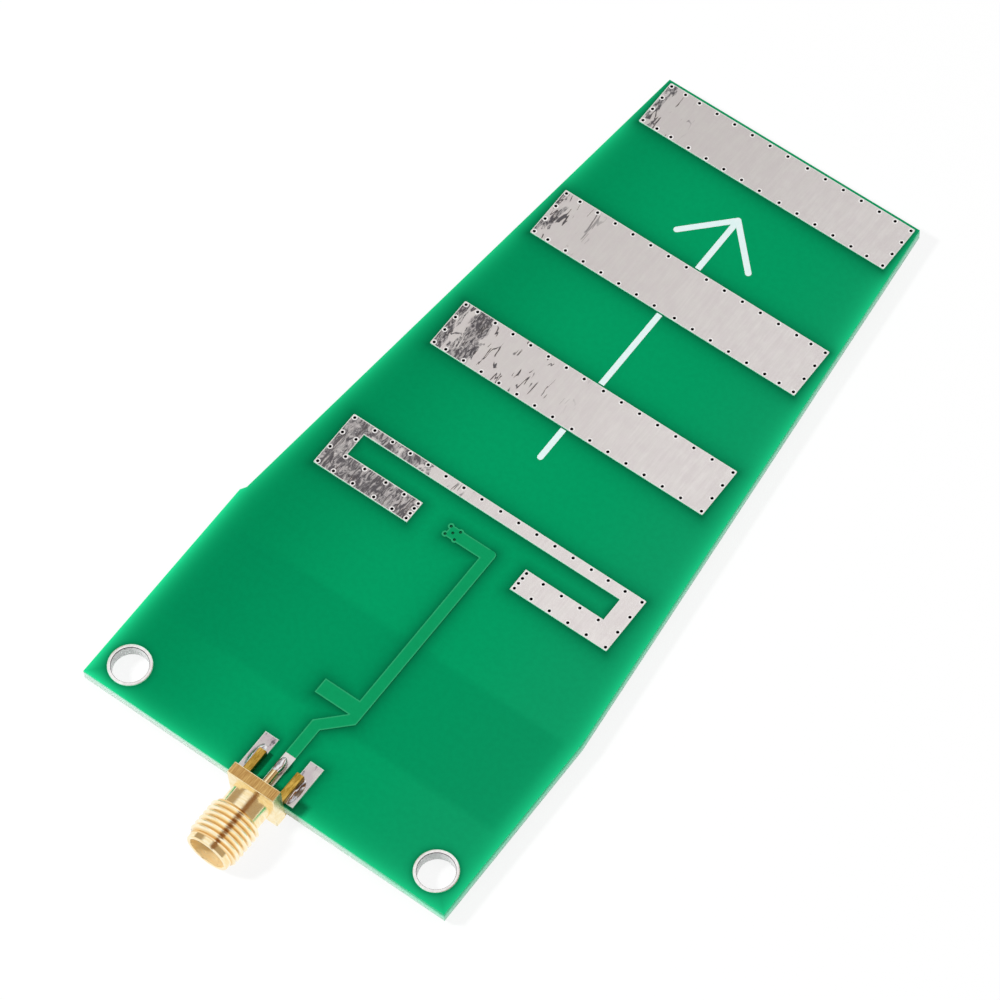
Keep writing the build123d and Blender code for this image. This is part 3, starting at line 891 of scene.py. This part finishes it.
# %% Eyelets
def eyelet(name, node):
    low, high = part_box(node)
    middle = (low + high) / 2
    outer = (high.x - low.x) / 2
    bore = 2.15 * mm
    wall = bore + 0.06 * mm
    round_off = 0.03 * mm
    upper = [(bore, high.z - 0.1 * mm), (bore + round_off, high.z - 0.01 * mm),
             (bore + 2 * round_off, high.z), (outer - 2 * round_off, high.z),
             (outer - 0.3 * round_off, high.z - 0.025 * mm), (outer, face_z), (wall, face_z)]
    lower = [(radius, low.z + (high.z - z)) for radius, z in reversed(upper)]
    bm = bmesh.new()
    profile = [Vector((middle.x + radius, middle.y, z)) for radius, z in upper + lower]
    spin_closed(bm, profile, (0, 0, 1), (middle.x, middle.y, 0), 96)
    face_outwards(bm)
    for face in bm.faces:
        from_middle = (face.calc_center_median() - middle).xy.length
        if from_middle < bore + 2 * round_off:
            # Index 2 is the lip, painted dark as a painted reflection.
            face.material_index = 1 if from_middle < bore + 0.3 * round_off else 2
    piece = finish_piece(name, bm, [plated, bore_lining, painted_dark_lip], [node])
    print(name, "faces", len(piece.data.polygons))


for side in ("left", "right"):
    eyelet(f"{side}_eyelet", f"{side}_hole_plating")

# %% [markdown]
# A threaded socket
# The socket is one turned body with a square flange and four legs. The plain part is a spun
# profile. The thread is the same idea with a step forward: one pitch of its wave, with a rounded
# crest, is spun and moved along the axis at each step, and the turns are welded where they meet.
# Its ends are cut flat, and its crests are held under the chamfers, as a die leaves them. The
# flange is a plate with a bore, so that the white insulator shows at its back.

# %% Socket body
edge_y = board_low.y
flange_half = shell_high.x
flange_front = edge_y - 1.5 * mm
thread_back = flange_front - 2.5 * mm
lip_back = thread_back - 4.7 * mm
mouth = shell_low.y
neck_radius = 2.55 * mm
thread_chamfer = 0.35 * mm
lip_radius = 2.75 * mm
mouth_radius = 2.3 * mm
mouth_depth = 1.9 * mm
core_radius = 2.05 * mm
pitch = 25.4 / 36 * mm
turn_steps = 96
socket_axis = Vector((0, 1, 0))
socket_centre = Vector((0, 0, axis_z))


def axis_distance(point):
    return math.hypot(point.x, point.z - axis_z)


def move_to_radius(vert, radius):
    away = Vector((vert.co.x, 0, vert.co.z - axis_z)).normalized() * radius
    vert.co.x, vert.co.z = away.x, axis_z + away.z


def turned_core(bm):
    flare = 0.12 * mm
    profile = [
        (mouth_radius, mouth + 0.06 * mm), (mouth_radius + 0.06 * mm, mouth),
        (lip_radius - flare, mouth), (lip_radius, mouth + flare), (lip_radius, lip_back + 0.1 * mm),
        (neck_radius, lip_back + 0.1 * mm), (neck_radius, flange_front + 0.5 * mm),
        (core_radius, flange_front + 0.5 * mm), (core_radius, mouth + mouth_depth),
        (mouth_radius, mouth + mouth_depth)]
    points = [Vector((0, y, axis_z + radius)) for radius, y in profile]
    spin_closed(bm, points, socket_axis, socket_centre, turn_steps)
    for face in bm.faces:
        in_mouth = axis_distance(face.calc_center_median()) < mouth_radius + 0.01 * mm
        face.material_index = MOUTH if in_mouth else TURNED


def thread_sleeve():
    """A closed sleeve with a helical thread outside, from lip_back to thread_back."""
    bm = bmesh.new()
    start = lip_back - 1.5 * pitch
    rise = [(0.0, 1.0), (0.06, 0.95), (0.34, 0.12), (0.41, 0.03), (0.5, 0.0)]
    section = rise + [(1 - along, drop) for along, drop in reversed(rise[:-1])]
    verts = [bm.verts.new((0, start + along * pitch, axis_z + thread_radius - drop * thread_depth))
             for along, drop in section]
    edges = [bm.edges.new(pair) for pair in zip(verts, verts[1:])]
    turns = round((thread_back - lip_back) / pitch) + 3
    bmesh.ops.spin(bm, geom=verts + edges, cent=socket_centre, axis=socket_axis,
                   dvec=socket_axis * (pitch / turn_steps), angle=2 * math.pi * turns,
                   steps=turn_steps * turns, use_merge=False)
    bmesh.ops.remove_doubles(bm, verts=bm.verts, dist=weld_distance)
    for cut_y, outward in ((lip_back, -1), (thread_back, 1)):
        everything = bm.verts[:] + bm.edges[:] + bm.faces[:]
        bmesh.ops.bisect_plane(bm, geom=everything, plane_co=(0, cut_y, 0),
                               plane_no=(0, outward, 0), clear_outer=True)
    for vert in bm.verts:
        from_end = min(vert.co.y - lip_back, thread_back - vert.co.y)
        allowed = min(thread_radius, thread_radius - thread_chamfer + max(from_end, 0.0))
        if axis_distance(vert.co) > allowed:
            move_to_radius(vert, allowed)
    rims = [edge for edge in bm.edges if edge.is_boundary]
    pulled = bmesh.ops.extrude_edge_only(bm, edges=rims)["geom"]
    for item in pulled:
        if isinstance(item, bmesh.types.BMVert):
            move_to_radius(item, neck_radius - 0.1 * mm)
    loops = [edge for edge in bm.edges if edge.is_boundary]
    bmesh.ops.bridge_loops(bm, edges=loops)
    face_outwards(bm)
    for face in bm.faces:
        face.material_index = THREAD
    return bm


def leg(low, high, chamfer):
    """A bar between two corners with its edges rounded."""
    bm = bmesh.new()
    bmesh.ops.create_cube(bm, size=1.0)
    bmesh.ops.scale(bm, verts=bm.verts, vec=high - low)
    bmesh.ops.translate(bm, verts=bm.verts, vec=(low + high) / 2)
    ease(bm, bm.edges[:], chamfer)
    for face in bm.faces:
        face.material_index = LEG
    return bm


def bored_plate(low, high, bore, chamfer):
    """The square flange: the region between its outline and the bore, given its thickness."""
    bm = bmesh.new()
    closed_loop(bm, [(x, high.y, z) for x, z in (
        (low.x, low.z), (high.x, low.z), (high.x, high.z), (low.x, high.z))])
    facing_back = Matrix.Translation((0, high.y, axis_z)) @ Matrix.Rotation(math.radians(90), 4, "X")
    bmesh.ops.create_circle(bm, cap_ends=False, radius=bore, segments=turn_steps, matrix=facing_back)
    bmesh.ops.triangle_fill(bm, use_beauty=True, edges=bm.edges[:])
    bmesh.ops.solidify(bm, geom=bm.faces[:], thickness=high.y - low.y)
    bmesh.ops.translate(bm, verts=bm.verts, vec=(0, high.y - max(vert.co.y for vert in bm.verts), 0))
    face_outwards(bm)
    outer = sharp_edges(bm, lambda edge: all(
        axis_distance(vert.co) > 1.2 * bore for vert in edge.verts))
    ease(bm, outer, chamfer)
    for face in bm.faces:
        face.material_index = BRUSHED if is_level(face) else SATIN
    print("flange eased edges", len(outer), "open edges", sum(edge.is_boundary for edge in bm.edges))
    return bm


def add_mesh(bm, other):
    mesh = mesh_of("part of the socket", other)
    bm.from_mesh(mesh)
    bpy.data.meshes.remove(mesh)


socket = bmesh.new()
turned_core(socket)
face_outwards(socket)
add_mesh(socket, thread_sleeve())
add_mesh(socket, bored_plate(Vector((-flange_half, flange_front, shell_low.z)),
                             Vector((flange_half, edge_y, shell_high.z)), core_radius, 0.1 * mm))
leg_inner, leg_outer = 2.1 * mm, 3.1 * mm
leg_height = 0.9 * mm
for side in (-1, 1):
    low_x, high_x = sorted((side * leg_inner, side * leg_outer))
    for low_z in (foil_top, foil_bottom - leg_height):
        add_mesh(socket, leg(Vector((low_x, edge_y - 0.5 * mm, low_z)),
                             Vector((high_x, shell_high.y, low_z + leg_height)), 0.08 * mm))


def is_block_side(face):
    in_block = face.material_index in (BRUSHED, SATIN, LEG)
    return in_block and max(abs(part) for part in face.normal) > 0.9999


shell = finish_piece("threaded_socket", socket, socket_golds,
                     ["connector_shell"], is_block_side)
print("socket faces", len(shell.data.polygons))

# %% [markdown]
# Solder that has flowed
# A solder joint is a drop that wets both pieces, so it is full in the middle, runs out thin at its
# rim and is never quite even. Half a ball is made, one unit across each way. Each point's height is
# then worked out again from how far out it lies, which turns the ball's steep foot into a thin one,
# with a few waves that give the same drop every run. A drop may also stand higher at one end.

# %% Solder joints
def waves(x, y):
    return (math.sin(6.1 * x + 1.9 * y + 0.6) + math.sin(4.3 * y - 2.7 * x + 1.3)
            + math.sin(9.0 * y + 5.0 * x)) / 3


def solder_drop(name, node, middle_x, half_width, above, fullness, tilt, rough):
    """A drop over a joint's box. fullness under 1 is steep at the rim, tilt raises its near end."""
    low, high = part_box(node)
    rest_z, top_z = (low.z, high.z) if above else (high.z, low.z)
    bm = bmesh.new()
    bmesh.ops.create_icosphere(bm, subdivisions=5, radius=1.0)
    bmesh.ops.bisect_plane(bm, geom=bm.verts[:] + bm.edges[:] + bm.faces[:], plane_co=(0, 0, 0),
                           plane_no=(0, 0, -1), clear_outer=True)
    bmesh.ops.contextual_create(bm, geom=[edge for edge in bm.edges if edge.is_boundary])
    for vert in bm.verts:
        x, y = vert.co.x, vert.co.y
        inside = max(1 - x * x - y * y, 0.0) ** fullness
        vert.co.z = inside * (1 - tilt * y) * (1 - rough * (1 + waves(x, y))) / (1 + tilt)
    bmesh.ops.scale(bm, verts=bm.verts, vec=(half_width, (high.y - low.y) / 2, top_z - rest_z))
    bmesh.ops.translate(bm, verts=bm.verts, vec=(middle_x, (low.y + high.y) / 2, rest_z))
    face_outwards(bm)
    piece = finish_piece(name, bm, [solder], [node])
    print(name, "faces", len(piece.data.polygons))


signal_half = 0.8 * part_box("signal_solder")[1].x
solder_drop("signal_drop", "signal_solder", 0.0, signal_half, True, 0.12, 0.0, 0.03)
for side, sign, tilt in (("left", -1, -0.2), ("right", 1, 0.35)):
    for layer, above in (("face", True), ("back", False)):
        node = f"{side}_front_solder" if above else f"{side}_back_solder"
        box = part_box(node)
        reach = (box[1].x if sign > 0 else -box[0].x) - leg_outer
        solder_drop(f"{side}_{layer}_drop", node, sign * leg_outer, reach, above, 1.2, tilt, 0.1)

# %% [markdown]
# Studio
# The object lies on a white sweep in even light. The floor shows white to the camera and keeps a
# share of its own shading, so that the shadow stays. Metal has no colour without something to
# mirror, so glossy rays see a made-up room: white overhead, khaki walls low down on both sides, and
# one brown gap. The lamps themselves aren't mirrored.

# %% Floor
floor_material, tree, shader = new_material("white sweep", Roughness=0.9, Base_Color=(0.9, 0.9, 0.9, 1))
sweep_glow = place(tree, "Emission", {"Color": (1, 1, 1, 1), "Strength": 1.04})
path = place(tree, "LightPath").outputs
share = calc(tree, "MAXIMUM", times(tree, path["Is Camera Ray"], 0.84), path["Is Glossy Ray"])
mixed = place(tree, "MixShader", {0: share, 1: shader.outputs[0], 2: sweep_glow.outputs[0]})
plug(tree, tree.nodes["Material Output"].inputs["Surface"], mixed.outputs[0])
floor_bm = bmesh.new()
bmesh.ops.create_grid(floor_bm, x_segments=1, y_segments=1, size=3.0)
bmesh.ops.translate(floor_bm, verts=floor_bm.verts, vec=(0, 0, cad_box[0].z - 0.02 * mm))
floor_mesh = mesh_of("floor", floor_bm)
floor_mesh.materials.append(floor_material)
floor = new_object("floor", floor_mesh)
print("floor at", round(floor_mesh.vertices[0].co.z / mm, 3), "mm")

# %% Room and lamps
world = bpy.data.worlds.new("studio")
bpy.context.scene.world = world
world.use_nodes = True
tree = world.node_tree
room = tree.nodes["Background"]
direction = place(tree, "TexCoord").outputs["Generated"]
axes = parts_of(tree, direction)
unevenness = minus(tree, noise(tree, direction, 9.0, 3.0, 0.6), 0.5)
turn = calc(tree, "ADD", calc(tree, "ARCTAN2", axes["X"], axes["Z"]), times(tree, unevenness, 0.5))
wall_strip = band(tree, axes["Y"], 0.36, 0.26, 0.14)
walls = calc(tree, "MAXIMUM", fade(tree, turn, math.radians(-31), math.radians(-43)),
             fade(tree, turn, math.radians(27), math.radians(39)))
gap = band(tree, turn, math.radians(22), math.radians(17), math.radians(11))
path = place(tree, "LightPath").outputs
mirrored_walls = times(tree, times(tree, walls, wall_strip), times(tree, path["Is Glossy Ray"], 0.85))
mirrored_gap = times(tree, gap, path["Is Glossy Ray"])
white_part = calc(tree, "MAXIMUM", path["Is Camera Ray"], path["Is Glossy Ray"])
room_colour = blend(tree, mirrored_walls, (1, 1, 1, 1), paint(160, 132, 88))
plug(tree, room.inputs["Color"], blend(tree, mirrored_gap, room_colour, paint(142, 104, 70)))
plug(tree, room.inputs["Strength"], fade(tree, white_part, 0.0, 1.0, 0.3, 1.0))


def soft_lamp(name, place_at, size, power):
    lamp = bpy.data.lights.new(name, "AREA")
    lamp.shape = "DISK"
    lamp.size = size
    lamp.energy = power
    item = new_object(name, lamp)
    item.location = place_at
    item.rotation_mode = "QUATERNION"
    item.rotation_quaternion = (-Vector(place_at)).to_track_quat("-Z", "Y")
    item.visible_glossy = False
    return item


key = soft_lamp("key", (-0.42, -0.34, 0.66), 0.12, 5.0)
fill = soft_lamp("fill", (0.55, 0.1, 0.6), 0.5, 0.9)
print("lamps", key.name, fill.name)

# %% Finish
bpy.context.scene.view_settings.view_transform = "Standard"
